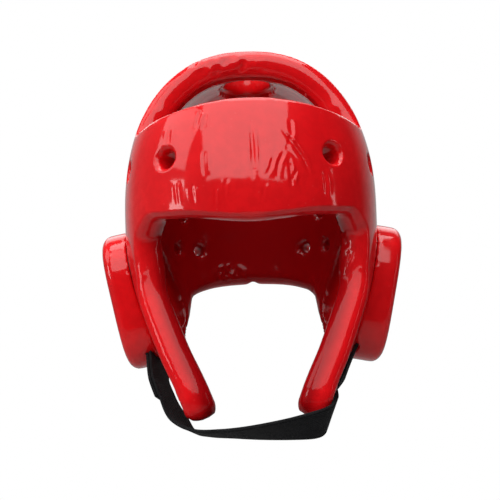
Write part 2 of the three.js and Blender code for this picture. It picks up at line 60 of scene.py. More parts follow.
# The form below its widest level, as shares of the jaw's drop and of the half width and length, with the
# squareness of its front half, which flattens into the cheek guards' straight sides.
JAW_FORM = {
    "drop": (0, 0.15, 0.3, 0.45, 0.6, 0.75, 0.88, 1, 1.2),
    "side": (1, 1, 0.975, 0.922, 0.851, 0.77, 0.675, 0.595, 0.5),
    "front": (1, 1.03, 1.15, 1.46, 1.64, 1.66, 1.66, 1.66, 1.66),
    "power": (2.8, 2.6, 2.2, 1.83, 1.58, 1.5, 1.5, 1.5, 1.5),
    "back": (1, 0.996, 0.975, 0.94, 0.9, 0.86, 0.83, 0.82, 0.81),
}

# Edges of the shell.
BROW_Z = -0.43 * HEIGHT
BROW_CORNER_Y = -74 * mm
BROW_CORNER_Z = -111 * mm
BROW_BEND = 13  # degrees over which the brow turns down into the cheek guard
BROW_RISE = {"height": 3.5 * mm, "turn": 24}
BAND_TOP_Z = -0.0985 * HEIGHT
SLOT_END_Z = -0.1685 * HEIGHT
BACK_TOP_Z = -0.1245 * HEIGHT
CROWN_FRONT_Y = -0.399 * HALF_LENGTH
CROWN_BACK_Y = 0.444 * HALF_LENGTH
CROWN_FILLET = 15 * mm
CROWN_SPREAD = 0.6  # share of its arch over which the crown's feet draw in to its waist
SLOT_BEND = {"front": 1.1, "back": 0.7}  # powers of the slots' lower edges

# The cheek guard's front edge from the brow's corner to the tip, its lower edge from there, and the nape's.
GUARD_FRONT = {
    "y": np.array((-74, -73, -73.5, -76, -82, -88.5, -94.5, -99.5, -99)) * mm,
    "z": np.array((-111, -122, -136, -152.5, -169.5, -186.5, -203, -219, -228)) * mm,
}
GUARD_LOWER = {
    "y": np.array((-95.5, -88, -75, -58, -33, -5, 24, 49.5)) * mm,
    "z": np.array((-234.5, -230, -218.5, -209.5, -205, -204, -199, -188.5)) * mm,
}
NAPE_LOWER = {"turn": (138, 158, 180), "z": np.array((-170, -160.5, -158)) * mm}
NAPE_NOTCH = {"height": 5 * mm, "half_width": 8 * mm}

# Rows and columns of the shell's panels, and how many fine ones stand for each.
BAND_ROWS, GUARD_ROWS = 5, 8
BAND_STEPS, SIDE_STEPS, BACK_STEPS, CROWN_STEPS = 16, 12, 16, 18
FINE = 4
RIM_CUTS = 9
RIM_POWER = 2.2  # squareness of the cut edges' swell
CORNER_FADE = 26 * mm

# Vents through the wall: degrees round from the middle of the face, height and radius.
VENTS = (
    (29.3, -65 * mm, 6.2 * mm),
    (56, -68 * mm, 6.2 * mm),
    (149, -126 * mm, 4.6 * mm),
    (131, -124 * mm, 4.6 * mm),
    (137, -93.5 * mm, 4.6 * mm),
)
VENT_FLARE = 3.2 * mm
EAR_HOLE = {"radius": 36 * mm, "y": 9.5 * mm, "z": -157 * mm}
CROWN_VENT = {"half_width": 17 * mm, "half_length": 24.5 * mm, "y": 2 * mm}

# Ear cups.
CUP = {
    "half_length": 49.5 * mm,
    "half_height": 51.5 * mm,
    "power": 3.8,
    "thickness": 27 * mm,
    "round": 6 * mm,
    "face_x": 101.2 * mm,
    "y": 6 * mm,
    "z": -162.5 * mm,
    "lean": 11.5,
}
CUP_DISH = {"radius": 32.5 * mm, "floor": 26 * mm, "depth": 5 * mm}
CUP_HOLE = {"radius": 7 * mm, "lip": 1.2 * mm}
SMALL_HOLE = {"radius": 3.5 * mm, "count": 6, "circle": 19 * mm}

# The strap's line, from under one ear cup to under the other: shares of the half length and of the jaw's
# drop, and either its gap off the wall, or its place across as a share of the half width. Lean turns its face
# down from upright, or from the wall, in degrees.
STRAP_WIDTH = 25 * mm
STRAP_THICKNESS = 2 * mm
WALL_GAP = 2.8 * mm
WALL_ROWS = 2  # rows at each end that lie on the wall
STRAP_PATH = {
    "length": (0.022, -0.159, -0.354, -0.535, -0.674, -0.785, -0.86, -0.92, -0.955,
               -0.965, -0.93, -0.815, -0.655, -0.511, -0.354, -0.159, 0.022),
    "drop": (0.736, 0.77, 0.826, 0.905, 0.99, 1.065, 1.086, 1.08, 1.07,
             1.055, 1.04, 1.026, 0.996, 0.912, 0.826, 0.77, 0.736),
    "across": (-1, -1, -0.748, -0.69, -0.605, -0.515, -0.38, -0.202, 0,
               0.228, 0.425, 0.512, 0.533, 0.618, 0.733, 1, 1),
    "lean": (0, 8, 30, 42, 52, 60, 68, 66, 58, 46, 32, 21, 24, 32, 25, 0, 0),
}
TAB = {"from": 3 / 48, "to": 11 / 48, "lift": 2.5 * mm, "end_lift": 6.5 * mm, "settle": 0.35}

CLEARANCE = 0.3 * mm


def make_camera():
    """The photograph's view: level, close, a little rolled."""
    data = bpy.data.cameras.new("camera")
    data.lens = 50.4
    data.sensor_width = 36
    data.shift_x = -0.004
    data.clip_start = 0.01
    camera = bpy.data.objects.new("camera", data)
    camera.location = (0, -0.5393, -0.1249)
    camera.rotation_euler = (math.radians(90), math.radians(1.8), 0)
    bpy.context.scene.collection.objects.link(camera)
    bpy.context.scene.camera = camera


# The head form.
def smooth(x, low, high):
    t = np.clip((x - low) / (high - low), 0, 1)
    return t * t * (3 - 2 * t)


def lerp(a, b, t):
    return a + (b - a) * t


def along(values, share):
    """A smooth curve through values, read at shares from 0 to 1 of the way."""
    values = np.asarray(values, float)
    last = len(values) - 1
    i = np.clip(np.floor(share * last).astype(int), 0, last - 1)
    t = share * last - i
    a, b, c, d = (values[np.clip(i + k, 0, last)] for k in (-1, 0, 1, 2))
    return b + 0.5 * t * (c - a + t * (2 * a - 5 * b + 4 * c - d + t * (3 * (b - c) + d - a)))


def form_at(z):
    """The form's section at heights: half axes, the front half's power, and what is left of it there."""
    drops = JAW_FORM["drop"]
    drop = np.maximum(0, (WIDEST_Z - z) / JAW_DROP)
    share = np.interp(drop, drops, np.linspace(0, 1, len(drops)))
    f = {key: along(JAW_FORM[key], share) for key in ("side", "front", "power", "back")}
    f["left"] = 1 - np.maximum(0, (z - WIDEST_Z) / DOME) ** DOME_POWER
    return f


def length_term(f, y):
    """What the place along the length takes from a section of the form."""
    ahead = np.abs(y / (HALF_LENGTH * f["front"])) ** f["power"]
    behind = np.abs(y / (HALF_LENGTH * f["back"])) ** LENGTH_POWER
    return np.where(np.asarray(y) < 0, ahead, behind)


def depth(p):
    """Negative inside the form, positive outside, zero on its face."""
    f = form_at(p[:, 2])
    return np.abs(p[:, 0] / (HALF_WIDTH * f["side"])) ** SIDE_POWER + length_term(f, p[:, 1]) - f["left"]


def slopes(p):
    """The gradient of depth at points."""
    step = 0.4 * mm
    grown = [(depth(p + e) - depth(p - e)) / (2 * step) for e in np.eye(3) * step]
    return np.stack(grown, 1)


def off_form(p):
    """How far points stand off the form's face, to first order; negative inside."""
    return depth(p) / np.linalg.norm(slopes(p), axis=1)


def normals(p):
    g = slopes(p)
    return g / np.linalg.norm(g, axis=1, keepdims=True)


HALVINGS = 30


def on_turn(turn, z):
    """Points of the form at turns in degrees from the middle of the face, and heights."""
    turn, z = (np.asarray(a, float) for a in np.broadcast_arrays(turn, z))
    heading = np.radians(turn.ravel())
    level = z.ravel()
    near = np.zeros_like(level)
    far = np.full_like(level, 2 * HALF_LENGTH)
    for _ in range(HALVINGS):
        middle = (near + far) / 2
        p = np.stack((middle * np.sin(heading), -middle * np.cos(heading), level), 1)
        inside = depth(p) < 0
        near = np.where(inside, middle, near)
        far = np.where(inside, far, middle)
    return p.reshape(turn.shape + (3,))


def turn_at(y, z):
    """The turn at which the right side of the form passes through points seen from the side."""
    f = form_at(np.asarray(z, float))
    room = f["left"] - length_term(f, y)
    x = HALF_WIDTH * f["side"] * np.maximum(room, 1e-6) ** (1 / SIDE_POWER)
    return np.degrees(np.arctan2(x, -np.asarray(y)))


def on_crown(x, y):
    room = 1 - np.abs(x / HALF_WIDTH) ** SIDE_POWER - np.abs(y / HALF_LENGTH) ** LENGTH_POWER
    return np.stack((x, y, WIDEST_Z + DOME * np.maximum(0, room) ** (1 / DOME_POWER)), -1)


WAIST = (CROWN_FRONT_Y + EDGE_SWELL, CROWN_BACK_Y - EDGE_SWELL)
SLOT_TURNS = turn_at(np.array((WAIST[0] - CROWN_FILLET, WAIST[1] + CROWN_FILLET)), np.full(2, SLOT_END_Z))
CORNER_TURN = float(turn_at(BROW_CORNER_Y, BROW_CORNER_Z))
BACK_TURN = float(turn_at(GUARD_LOWER["y"][-1], GUARD_LOWER["z"][-1] + EDGE_SWELL))


def top_at(turn):
    """The panel's top edge: low where the crown joins it, higher at the middle of the face and back."""
    first, last = SLOT_TURNS
    front = lerp(BAND_TOP_Z - EDGE_SWELL, SLOT_END_Z, smooth(turn, 0, first) ** SLOT_BEND["front"])
    back = lerp(SLOT_END_Z, BACK_TOP_Z - EDGE_SWELL, smooth(turn, last, 180) ** SLOT_BEND["back"])
    return np.where(turn < first, front, np.where(turn < last, SLOT_END_Z, back))


def brow_at(turn):
    bend = smooth(turn, CORNER_TURN - BROW_BEND, CORNER_TURN) ** 2
    raised = BROW_Z + BROW_RISE["height"] * smooth(turn, 0, BROW_RISE["turn"])
    return lerp(raised + EDGE_SWELL, BROW_CORNER_Z, bend)


def nape_at(turn):
    turns = (BACK_TURN, *NAPE_LOWER["turn"])
    share = np.interp(turn, turns, np.linspace(0, 1, len(turns)))
    return along((GUARD_LOWER["z"][-1], *NAPE_LOWER["z"]), share) + EDGE_SWELL


def band_rows():
    """The forehead band's points, the rows from top to bottom."""
    turn = lerp(-CORNER_TURN, CORNER_TURN, np.linspace(0, 1, BAND_STEPS * FINE + 1))[None, :]
    t = np.linspace(0, 1, BAND_ROWS * FINE + 1)[:, None]
    return on_turn(turn + 0 * t, lerp(top_at(np.abs(turn)), brow_at(np.abs(turn)), t))


def side_rows():
    """The right wall's points, between its front and back lines and its top and lower edges."""
    rows = BAND_ROWS + GUARD_ROWS
    r = np.arange(rows * FINE + 1) / FINE
    t = (r / rows)[:, None]
    s = np.linspace(0, 1, SIDE_STEPS * FINE + 1)[None, :]
    in_guard = np.clip((r - BAND_ROWS) / GUARD_ROWS, 0, 1)
    guard_z = along(GUARD_FRONT["z"], in_guard)
    guard_turn = turn_at(along(GUARD_FRONT["y"], in_guard), guard_z)
    band_z = lerp(top_at(CORNER_TURN), BROW_CORNER_Z, np.clip(r / BAND_ROWS, 0, 1))
    above = r <= BAND_ROWS
    front = {"turn": np.where(above, CORNER_TURN, guard_turn), "z": np.where(above, band_z, guard_z)}
    back = {"turn": 0 * r + BACK_TURN, "z": lerp(top_at(BACK_TURN), nape_at(BACK_TURN), r / rows)}
    top_turn = lerp(CORNER_TURN, BACK_TURN, s[0])
    top = {"turn": top_turn, "z": top_at(top_turn)}
    lower_z = along((GUARD_FRONT["z"][-1], *(GUARD_LOWER["z"] + EDGE_SWELL)), s[0])
    lower_y = along((GUARD_FRONT["y"][-1], *GUARD_LOWER["y"]), s[0])
    lower = {"turn": turn_at(lower_y, lower_z), "z": lower_z}
    for key in ("turn", "z"):
        lower[key][0] = front[key][-1]
        lower[key][-1] = back[key][-1]

    def mix(key):
        corners = lerp(lerp(top[key][0], top[key][-1], s), lerp(lower[key][0], lower[key][-1], s), t)
        sides = lerp(front[key][:, None], back[key][:, None], s)
        return sides + lerp(top[key][None, :], lower[key][None, :], t) - corners

    return on_turn(mix("turn"), mix("z"))


def back_rows():
    turn = lerp(BACK_TURN, 360 - BACK_TURN, np.linspace(0, 1, BACK_STEPS * FINE + 1))[None, :]
    folded = np.minimum(turn, 360 - turn)
    t = np.linspace(0, 1, (BAND_ROWS + GUARD_ROWS) * FINE + 1)[:, None]
    return on_turn(turn + 0 * t, lerp(top_at(folded), nape_at(folded), t))


def crown_rows():
    """The bridge over the head between the slots, from the left feet to the right ones."""
    coarse = lerp(CORNER_TURN, BACK_TURN, np.linspace(0, 1, SIDE_STEPS + 1))
    kept = coarse[(coarse > SLOT_TURNS[0]) & (coarse < SLOT_TURNS[1])]
    turn = lerp(kept[0], kept[-1], np.linspace(0, 1, (len(kept) - 1) * FINE + 1))
    feet = on_turn(turn, np.full_like(turn, SLOT_END_Z))
    s = np.linspace(0, 1, CROWN_STEPS * FINE + 1)[:, None]
    narrowed = lerp(*WAIST, np.linspace(0, 1, len(turn)))[None, :]
    x = feet[None, :, 0] * np.cos(np.pi * s)
    y = lerp(feet[None, :, 1], narrowed, smooth(np.sin(np.pi * s), 0, CROWN_SPREAD))
    rows = on_crown(x, y)
    rows[0] = feet
    rows[-1] = feet * (-1, 1, 1)
    return rows[::-1]


def add_panel(bm, rows):
    """Lays a grid of faces on rows of points, the top row first, each from left to right as seen outside."""
    count, steps = rows.shape[:2]
    made = bmesh.ops.create_grid(bm, x_segments=steps - 1, y_segments=count - 1, size=1)["verts"]
    for vert, p in zip(made, rows[::-1].reshape(-1, 3)):
        vert.co = p


def rim_direction(vert, normal):
    """Out of the panel, square to its edge and to the form."""
    ends = [e.other_vert(vert).co for e in vert.link_edges if e.is_boundary]
    out = (ends[1] - ends[0]).cross(normal).normalized()
    middle = sum((f.calc_center_median() for f in vert.link_faces), Vector()) / len(vert.link_faces)
    return out if out.dot(vert.co - middle) > 0 else -out


def foam_solid(panels, thickness, swell_at):
    """A padded wall under panels that lie on the form, its free edges swollen outwards."""
    bm = bmesh.new()
    for rows in panels:
        add_panel(bm, rows)
    bmesh.ops.remove_doubles(bm, verts=bm.verts, dist=0.05 * mm)
    bmesh.ops.dissolve_degenerate(bm, dist=0.01 * mm, edges=bm.edges)
    bmesh.ops.recalc_face_normals(bm, faces=bm.faces)
    inward = bm.verts.layers.float_vector.new("inward")
    swell = bm.verts.layers.float_vector.new("swell")
    share = bm.verts.layers.float.new("share")
    points = np.array([v.co for v in bm.verts])
    for vert, n in zip(bm.verts, normals(points)):
        vert[inward] = Vector(n) * -thickness
    for vert in bm.verts:
        if vert.is_boundary:
            vert[swell] = rim_direction(vert, vert[inward]) * swell_at(vert.co)
    made = bmesh.ops.extrude_face_region(bm, geom=bm.faces[:], use_keep_orig=True)["geom"]
    inner = {g for g in made if isinstance(g, bmesh.types.BMVert)}
    for vert in inner:
        vert.co += vert[inward]
        vert[share] = 1
    through = [e for e in bm.edges if (e.verts[0] in inner) != (e.verts[1] in inner)]
    bmesh.ops.subdivide_edges(bm, edges=through, cuts=RIM_CUTS, use_grid_fill=True)
    for vert in bm.verts:
        if 0 < vert[share] < 1:
            s = abs(2 * vert[share] - 1)
            vert.co += vert[swell] * (1 - s**RIM_POWER) ** (1 / RIM_POWER)
    bmesh.ops.recalc_face_normals(bm, faces=bm.faces)
    return bm


def as_object(name, bm):
    mesh = bpy.data.meshes.new(name)
    bm.to_mesh(mesh)
    bm.free()
    piece = bpy.data.objects.new(name, mesh)
    bpy.context.scene.collection.objects.link(piece)
    return piece


def turned(profile, steps):
    """A closed turned solid about +Z from (radius, height) pairs that start and end on the axis."""
    bm = bmesh.new()
    line = [bm.verts.new((r, 0, h)) for r, h in profile]
    edges = [bm.edges.new(pair) for pair in zip(line, line[1:])]
    bmesh.ops.spin(
        bm, geom=line + edges, cent=(0, 0, 0), axis=(0, 0, 1), dvec=(0, 0, 0),
        angle=2 * math.pi, steps=steps, use_merge=True, use_duplicate=False,
    )
    bmesh.ops.remove_doubles(bm, verts=bm.verts, dist=0.001 * mm)
    bmesh.ops.recalc_face_normals(bm, faces=bm.faces)
    return bm


def stand(bm, place, outward):
    """Turns a solid's +Z to a direction and moves its origin to a point."""
    turn = Vector(outward).to_track_quat("Z", "Y").to_matrix().to_4x4()
    bmesh.ops.transform(bm, matrix=Matrix.Translation(Vector(place)) @ turn, verts=bm.verts)
    return bm


REACH = 14 * mm
CUTTER_STEPS = 48


def hole_cutter(radius, flare, length):
    """A through-hole that opens like a trumpet at both faces of a wall; its zero height is the outer face."""
    bend = [(1 - math.cos(a), math.sin(a)) for a in np.linspace(0, math.pi / 2, 6)]
    near = [(radius + flare * out, -flare * (1 - up)) for out, up in bend]
    far = [(r, -length - h) for r, h in near]
    end = -length - REACH
    profile = [(0, REACH), (near[-1][0], REACH), *near[::-1], *far, (far[-1][0], end), (0, end)]
    return turned(profile, CUTTER_STEPS)


def join_all(name, parts):
    """One object of several closed solids."""
    whole = bmesh.new()
    for bm in parts:
        mesh = bpy.data.meshes.new("part")
        bm.to_mesh(mesh)
        bm.free()
        whole.from_mesh(mesh)
        bpy.data.meshes.remove(mesh)
    return as_object(name, whole)


def settle(piece):
    """Makes what a piece's modifiers show its own mesh."""
    shown = piece.evaluated_get(bpy.context.evaluated_depsgraph_get())
    mesh = bpy.data.meshes.new_from_object(shown)
    piece.modifiers.clear()
    old = piece.data
    piece.data = mesh
    bpy.data.meshes.remove(old)


def cut(piece, cutter):
    modifier = piece.modifiers.new("cut", "BOOLEAN")
    modifier.operation = "DIFFERENCE"
    modifier.solver = "MANIFOLD"
    modifier.object = cutter
    settle(piece)
    old = cutter.data
    bpy.data.objects.remove(cutter)
    bpy.data.meshes.remove(old)


def soften(piece, voxel, rounds):
    """An even skin over a cut solid, with every rim rounded off."""
    remesh = piece.modifiers.new("skin", "REMESH")
    remesh.mode = "VOXEL"
    remesh.voxel_size = voxel
    relax = piece.modifiers.new("relax", "SMOOTH")
    relax.factor = 0.5
    relax.iterations = rounds
    settle(piece)


def vectors(rows, name):
    values = np.empty(len(rows) * 3)
    rows.foreach_get(name, values)
    return values.reshape(-1, 3)


def points_of(mesh):
    return vectors(mesh.vertices, "co")


def put_points(mesh, co):
    mesh.vertices.foreach_set("co", co.ravel())
    mesh.update()


def facing_of(mesh):
    return vectors(mesh.vertex_normals, "vector")


# What counts as the wall's own faces: how well they face the form's way, and how near they lie.
FLAT = {"agree": (0.84, 0.98), "miss": 2.5 * mm, "rounds": 2}


def true_faces(piece):
    """Brings the wall's outer and inner faces exactly onto the form, and leaves its rims."""
    for _ in range(FLAT["rounds"]):
        co = points_of(piece.data)
        g = slopes(co)
        steep = np.linalg.norm(g, axis=1)
        n = g / steep[:, None]
        off = depth(co) / steep
        outer = np.abs(off) < np.abs(off + FOAM)
        miss = np.where(outer, off, off + FOAM)
        share = smooth(np.abs((facing_of(piece.data) * n).sum(1)), *FLAT["agree"])
        share *= np.abs(miss) < FLAT["miss"]
        put_points(piece.data, co - n * (miss * share)[:, None])


def shade_smooth(piece):
    piece.data.polygons.foreach_set("use_smooth", [True] * len(piece.data.polygons))


# Creases of the dipped skin over the forehead. Each is a smooth line through turns in degrees and heights in
# millimetres, with its depth and half width in millimetres.
CREASES = [dict(zip(("turn", "z", "depth", "width"), row)) for row in (
    ((0.6, 1.2, 1.3, 1.2), (-43, -57, -70, -84), 0.64, 1.12),
    ((11.2, 14.6, 18, 19.8), (-50, -59.3, -70, -82), 0.96, 1.05),
    ((14.6, 14.5, 12.4), (-43.4, -53, -64), 0.45, 1.2),
    ((7.9, 7, 5.5), (-67.3, -73.5, -80), 0.51, 0.9),
    ((11.5, 9.4, 8.9), (-64.7, -72.8, -82), 0.58, 0.98),
    ((12.8, 13.2, 13.2, 12.9), (-68.3, -76.4, -83.5, -89), 0.64, 0.98),
    ((15.3, 14, 14.2), (-75.6, -81.8, -89), 0.51, 0.9),
    ((-17.2, -17.6, -18.3), (-36.4, -42, -49), 0.64, 1.12),
    ((-14.9, -15.2, -15), (-38, -43, -48), 0.45, 0.9),
    ((-28.5, -28.4, -27.9), (-45.7, -51, -59), 0.45, 1.27),
    ((-14.7, -14.6, -14.1), (-62.7, -70, -79), 0.45, 1.12),
    ((-24.7, -24.4, -23.7), (-81, -88, -97), 0.45, 1.05),
    ((-18.7, -18.3, -17.8), (-83.5, -90, -97), 0.38, 0.98),
    ((-11, -11, -11), (-86, -91, -98), 0.26, 0.68),
    ((-7.6, -7.9, -7.8), (-81, -87, -94), 0.26, 0.68),
    ((24.5, 25.2, 25), (-76, -84, -95), 0.38, 1.2),
    ((4.4, 4.2, 3.6), (-84, -90, -97), 0.26, 0.75),
)]
CREASED = {"turn": 36, "margin": 4, "low": -103 * mm, "high": -30 * mm, "near": 1.5 * mm, "halved": 2 * mm}
CREASE_POINTS = 25
# The two lips beside each groove: heights as shares of its depth, places and widths as those of its width.
CREASE_LIPS = (
    {"height": 0.75, "place": 1.9, "width": 1.3},
    {"height": 0.3, "place": -2.2, "width": 1.5},
)
CREASE_FADE = (0.3, 0.45)  # shares of its length over which a crease dies away at its two ends
CREASE_RADIUS = 108 * mm  # of the forehead, for measuring across it

# Crinkled places: the middle, the reach along each axis and the height of the ridges, in millimetres.
CRINKLES = [dict(zip(("middle", "reach", "height", "grain"), row)) for row in (
    ((-16, -44, 7), (36, 9, 8), 0.8, 4),
    ((62, -66, -128), (13, 13, 26), 1.0, 4),
    ((-62, -66, -124), (10, 10, 18), 0.5, 4.5),
    ((-23, 88, -146), (24, 12, 11), 1.1, 4.5),
    ((62, 70, -158), (16, 22, 20), 1.0, 5),
    ((-62, 70, -158), (14, 20, 16), 0.6, 5),
    ((10, -92, -104), (34, 12, 6), 0.5, 5),
    ((46, -94, -222), (12, 14, 14), 0.5, 4.5),
    ((-46, -94, -222), (12, 14, 14), 0.5, 4.5),
)]
RIDGE = {"slope": 2.4, "squash": 0.6, "fade": 0.7}
# The skin's slow swells, in millimetres.
WAVES = (
    {"length": 34, "height": 0.2},
    {"length": 17, "height": 0.07},
)
# Where the inside is darkened with painted shade: below the head seat, and as shares of the way through the
# foam.
INSIDE_SHADE = {"from": 40 * mm, "to": 90 * mm, "through": (0.35, 0.95)}
HANDLED = {"from": 112 * mm, "to": 140 * mm}  # below the head seat, where hands dull the guards
SKIN = {"voxel": 1.9 * mm, "rounds": 7}


def refine_forehead(piece):
    """Halves the faces of the forehead's outer side, where the creases lie."""
    bm = bmesh.new()
    bm.from_mesh(piece.data)
    bm.verts.ensure_lookup_table()
    co = np.array([v.co for v in bm.verts])
    turn = np.degrees(np.arctan2(co[:, 0], -co[:, 1]))
    near = (np.abs(turn) < CREASED["turn"]) & (co[:, 2] > CREASED["low"]) & (co[:, 2] < CREASED["high"])
    near &= np.abs(off_form(co)) < CREASED["halved"]
    edges = [e for e in bm.edges if near[e.verts[0].index] and near[e.verts[1].index]]
    bmesh.ops.subdivide_edges(bm, edges=edges, cuts=1, use_grid_fill=True)
    bm.to_mesh(piece.data)
    bm.free()


def crease_lift(u, v):
    """How far the creases raise or lower the skin at places across and up the forehead."""
    lift = np.zeros_like(u)
    for crease in CREASES:
        share = np.linspace(0, 1, CREASE_POINTS)
        line_u = np.radians(along(crease["turn"], share)) * CREASE_RADIUS
        line_v = along(crease["z"], share) * mm
        du, dv = u[:, None] - line_u, v[:, None] - line_v
        nearest = np.argmin(du**2 + dv**2, axis=1)
        pick = np.arange(len(u))
        du, dv = du[pick, nearest], dv[pick, nearest]
        tu, tv = np.gradient(line_u)[nearest], np.gradient(line_v)[nearest]
        beside = np.sign(dv * tu - du * tv) * np.hypot(du, dv) / (crease["width"] * mm)
        ends = smooth(share, 0, CREASE_FADE[0]) * smooth(1 - share, 0, CREASE_FADE[1])
        groove = -np.exp(-beside**2)
        for lip in CREASE_LIPS:
            groove = groove + lip["height"] * np.exp(-((beside - lip["place"]) / lip["width"]) ** 2)
        lift += groove * ends[nearest] * crease["depth"] * mm
    return lift


def waviness(co, seed):
    """Slow swells of a dipped skin over soft foam."""
    lift = np.zeros(len(co))
    for wave in WAVES:
        length, height = wave["length"], wave["height"]
        shift = Vector((seed, length, 0))
        lift += [height * mm * noise.noise(Vector(p) / (length * mm) + shift) for p in co]
    return lift


def crinkle_lift(co):
    """Short sharp ridges, where the skin is bunched."""
    lift = np.zeros(len(co))
    for patch in CRINKLES:
        off = (co - np.array(patch["middle"]) * mm) / (np.array(patch["reach"]) * mm)
        inside = np.where((off**2).sum(1) < 1)[0]
        fade = smooth(1 - (off[inside] ** 2).sum(1), 0, RIDGE["fade"])
        places = co[inside] * (1, 1, RIDGE["squash"]) / (patch["grain"] * mm)
        ridge = [1 - RIDGE["slope"] * abs(noise.noise(Vector(p))) for p in places]
        lift[inside] += np.array(ridge) * fade * patch["height"] * mm
    return lift


def wrinkle(piece, seed):
    """Moves the skin along its own normals by its waves, creases and crinkles."""
    co = points_of(piece.data)
    lift = waviness(co, seed) + crinkle_lift(co)
    turn = np.arctan2(co[:, 0], -co[:, 1])
    outer = np.abs(off_form(co)) < CREASED["near"]
    near = np.where(outer & (np.abs(turn) < math.radians(CREASED["turn"] + CREASED["margin"])))[0]
    lift[near] += crease_lift(turn[near] * CREASE_RADIUS, co[near, 2])
    put_points(piece.data, co + facing_of(piece.data) * lift[:, None])
    mark_inside_shade(piece, co)


def add_mask(piece, name, value):
    piece.data.attributes.new(name, "FLOAT", "POINT").data.foreach_set("value", value)


def mark_inside_shade(piece, co):
    """A mask from 0 on the outer face to 1 on the inner one, below the crown, for painted shade that darkens
    the inside.
    """
    share = -off_form(co) / FOAM
    below = smooth(-co[:, 2], INSIDE_SHADE["from"], INSIDE_SHADE["to"])
    add_mask(piece, "inside", smooth(share, *INSIDE_SHADE["through"]) * below)


def make_shell():
    side = side_rows()
    other = side[:, ::-1] * (-1, 1, 1)
    corners = on_turn(np.array([*SLOT_TURNS, *-SLOT_TURNS]), np.full(4, SLOT_END_Z))

    def swell_at(p):
        away = np.linalg.norm(corners - np.array(p), axis=1).min()
        return EDGE_SWELL * min(1, away / CORNER_FADE)

    panels = (band_rows(), side, other, back_rows(), crown_rows())
    shell = as_object("shell_skin", foam_solid(panels, FOAM, swell_at))
    cutters = []
    for hand in (1, -1):
        for turn, z, radius in VENTS:
            place = on_turn(hand * turn, z)
            outward = normals(place[None])[0]
            cutters.append(stand(hole_cutter(radius, VENT_FLARE, FOAM), place, outward))
        ear = on_turn(hand * turn_at(EAR_HOLE["y"], EAR_HOLE["z"]), EAR_HOLE["z"])
        r = EAR_HOLE["radius"]
        ear_cutter = turned([(0, -3 * FOAM), (r, -3 * FOAM), (r, REACH), (0, REACH)], CUTTER_STEPS)
        cutters.append(stand(ear_cutter, ear, (hand, 0, 0)))
    crown = hole_cutter(CROWN_VENT["half_width"], VENT_FLARE, FOAM)
    longer = CROWN_VENT["half_length"] / CROWN_VENT["half_width"]
    bmesh.ops.scale(crown, vec=(1, longer, 1), verts=crown.verts)
    cutters.append(stand(crown, (0, CROWN_VENT["y"], FOAM), (0, 0, 1)))
    cutters.append(notch_cutter())
    cut(shell, join_all("cutters", cutters))
    skin_of = SKIN
    soften(shell, skin_of["voxel"], skin_of["rounds"])
    refine_forehead(shell)
    true_faces(shell)
    wrinkle(shell, 0)
    add_mask(shell, "handled", smooth(-points_of(shell.data)[:, 2], HANDLED["from"], HANDLED["to"]))
    shade_smooth(shell)
    return shell


def notch_cutter():
    """A wedge on edge, for the small upturned V at the nape."""
    bm = bmesh.new()
    bmesh.ops.create_cube(bm, size=math.sqrt(2))
    bmesh.ops.rotate(bm, matrix=Matrix.Rotation(math.radians(45), 3, "Y"), verts=bm.verts)
    bmesh.ops.scale(bm, vec=(NAPE_NOTCH["half_width"], HALF_LENGTH / 2, NAPE_NOTCH["height"]), verts=bm.verts)
    bmesh.ops.translate(bm, vec=(0, HALF_LENGTH, NAPE_LOWER["z"][-1]), verts=bm.verts)
    return bm


# Webbing.
def strap_line():
    """The strap's stations: their points, and the lean of the face from upright, in degrees."""
    y = np.array(STRAP_PATH["length"]) * HALF_LENGTH
    z = WIDEST_Z - np.array(STRAP_PATH["drop"]) * JAW_DROP
    side = np.array(STRAP_PATH["across"])
    lean = np.array(STRAP_PATH["lean"], float)
    points = np.stack((side * HALF_WIDTH, y, z), 1)
    on_wall = np.r_[0:WALL_ROWS, -WALL_ROWS:0]
    wall = on_turn(side[on_wall] * turn_at(y[on_wall], z[on_wall]), z[on_wall])
    outward = normals(wall)
    points[on_wall] = wall + outward * WALL_GAP
    lean[on_wall] += np.degrees(np.arcsin(-outward[:, 2]))
    return points, lean


STRAP_POINTS, STRAP_LEAN = strap_line()


def station(share):
    return np.stack([along(axis, share) for axis in STRAP_POINTS.T], 1)


STRAP_LENGTH = np.linalg.norm(np.diff(station(np.linspace(0, 1, 400)), axis=0), axis=1).sum()


def strap_frames(share):
    """The strap's middle line at shares of its way, with the directions across it and out of its face."""
    step = 0.001
    p = station(share)
    tangent = station(np.minimum(1, share + step)) - station(np.maximum(0, share - step))
    tangent /= np.linalg.norm(tangent, axis=1, keepdims=True)
    face = np.cross(tangent, (0, 0, 1))
    face /= np.linalg.norm(face, axis=1, keepdims=True)
    lean = np.radians(along(STRAP_LEAN, share))[:, None]
    face = face * np.cos(lean) + np.cross(tangent, face) * np.sin(lean)
    return p, np.cross(tangent, face), face


def ribbon(first, last, length_steps, width_steps, lift_at, room=0.0):
    """A flat strip laid along the strap's line, with its own length and width as its UV map, in metres."""
    share = np.linspace(first, last, length_steps + 1)
    p, across, face = strap_frames(share)
    p = p + face * lift_at(np.linspace(0, 1, length_steps + 1))[:, None]
    run = np.concatenate(([0], np.cumsum(np.linalg.norm(np.diff(p, axis=0), axis=1))))
    offsets = np.linspace(-1, 1, width_steps + 1) * (STRAP_WIDTH / 2 + room)
    bm = bmesh.new()
    made = bmesh.ops.create_grid(bm, x_segments=length_steps, y_segments=width_steps, size=1)["verts"]
    bm.verts.index_update()
    grid = p[None] + across[None] * offsets[:, None, None]
    for vert, q in zip(made, grid.reshape(-1, 3)):
        vert.co = q
    uv = bm.loops.layers.uv.new("webbing")
    for f in bm.faces:
        for loop in f.loops:
            row, column = divmod(loop.vert.index, length_steps + 1)
            loop[uv].uv = (run[column], offsets[row])
    return bm


def flat(t):
    return 0 * t


def tab_lift(t):
    return lerp(TAB["end_lift"], TAB["lift"], smooth(t, 0, TAB["settle"]))


